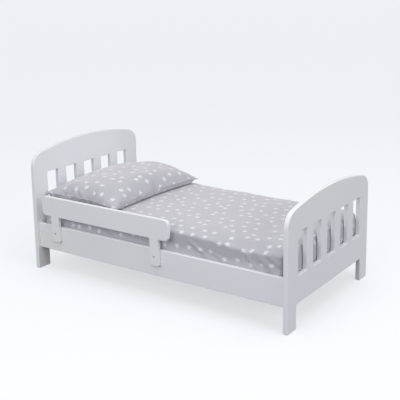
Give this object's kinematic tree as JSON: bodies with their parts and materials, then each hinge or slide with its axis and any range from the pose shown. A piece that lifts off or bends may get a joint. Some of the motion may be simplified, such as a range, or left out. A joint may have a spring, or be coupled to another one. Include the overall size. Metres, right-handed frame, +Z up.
{
  "type": "toddler bed",
  "caption": "Toddler bed with arched slotted end panels, side rails, a slatted base, a bolt-on guard rail, a mattress in a fitted sheet and a loose pillow.",
  "frame": {"origin": "on the floor, at the middle of the bed's length and width", "axes": "+X towards the foot end, +Y towards the long side without the guard rail, +Z up"},
  "size_m": [1.45, 0.784, 0.6279],
  "materials": {
    "painted_board": "smooth satin white lacquer on fibreboard, edges rounded",
    "pine": "planed, unfinished pine",
    "beech": "plain turned beech",
    "zinc_steel": "bright zinc plate",
    "die_cast_zinc": "plain die-cast zinc alloy",
    "nickel_steel": "nickel plate",
    "mattress_cover": "white knitted cover",
    "sheet_cotton": "light grey cotton with scattered white stars",
    "pillow_ticking": "white cotton ticking",
    "pillowcase_cotton": "light grey cotton with scattered white stars"
  },
  "bodies": {
    "frame": {"headboard": "painted_board", "footboard": "painted_board", "front_side_rail": "painted_board", "back_side_rail": "painted_board", "front_ledger": "pine", "back_ledger": "pine", "slat_01": "pine", "slat_02": "pine", "slat_03": "pine", "slat_04": "pine", "slat_05": "pine", "slat_06": "pine", "slat_07": "pine", "slat_08": "pine", "slat_09": "pine", "slat_10": "pine", "slat_11": "pine", "slat_12": "pine", "slat_13": "pine", "slat_screws": "zinc_steel", "ledger_screws": "zinc_steel", "cam_locks": "die_cast_zinc", "cam_bolts": "zinc_steel", "dowels": "beech", "guard_rail": "painted_board", "guard_bolts": "nickel_steel", "threaded_inserts": "nickel_steel"},
    "mattress": {"mattress": "mattress_cover", "fitted_sheet": "sheet_cotton"},
    "pillow": {"pillow": "pillow_ticking", "pillowcase": "pillowcase_cotton"}
  },
  "joints": [
    {"name": "mattress_lift", "type": "slide", "parent": "frame", "child": "mattress", "axis": [0, 0, 1], "range_m": [0, 0.36]},
    {"name": "pillow_lift", "type": "slide", "parent": "mattress", "child": "pillow", "axis": [0, 0, 1], "range_m": [0, 0.3]}
  ]
}
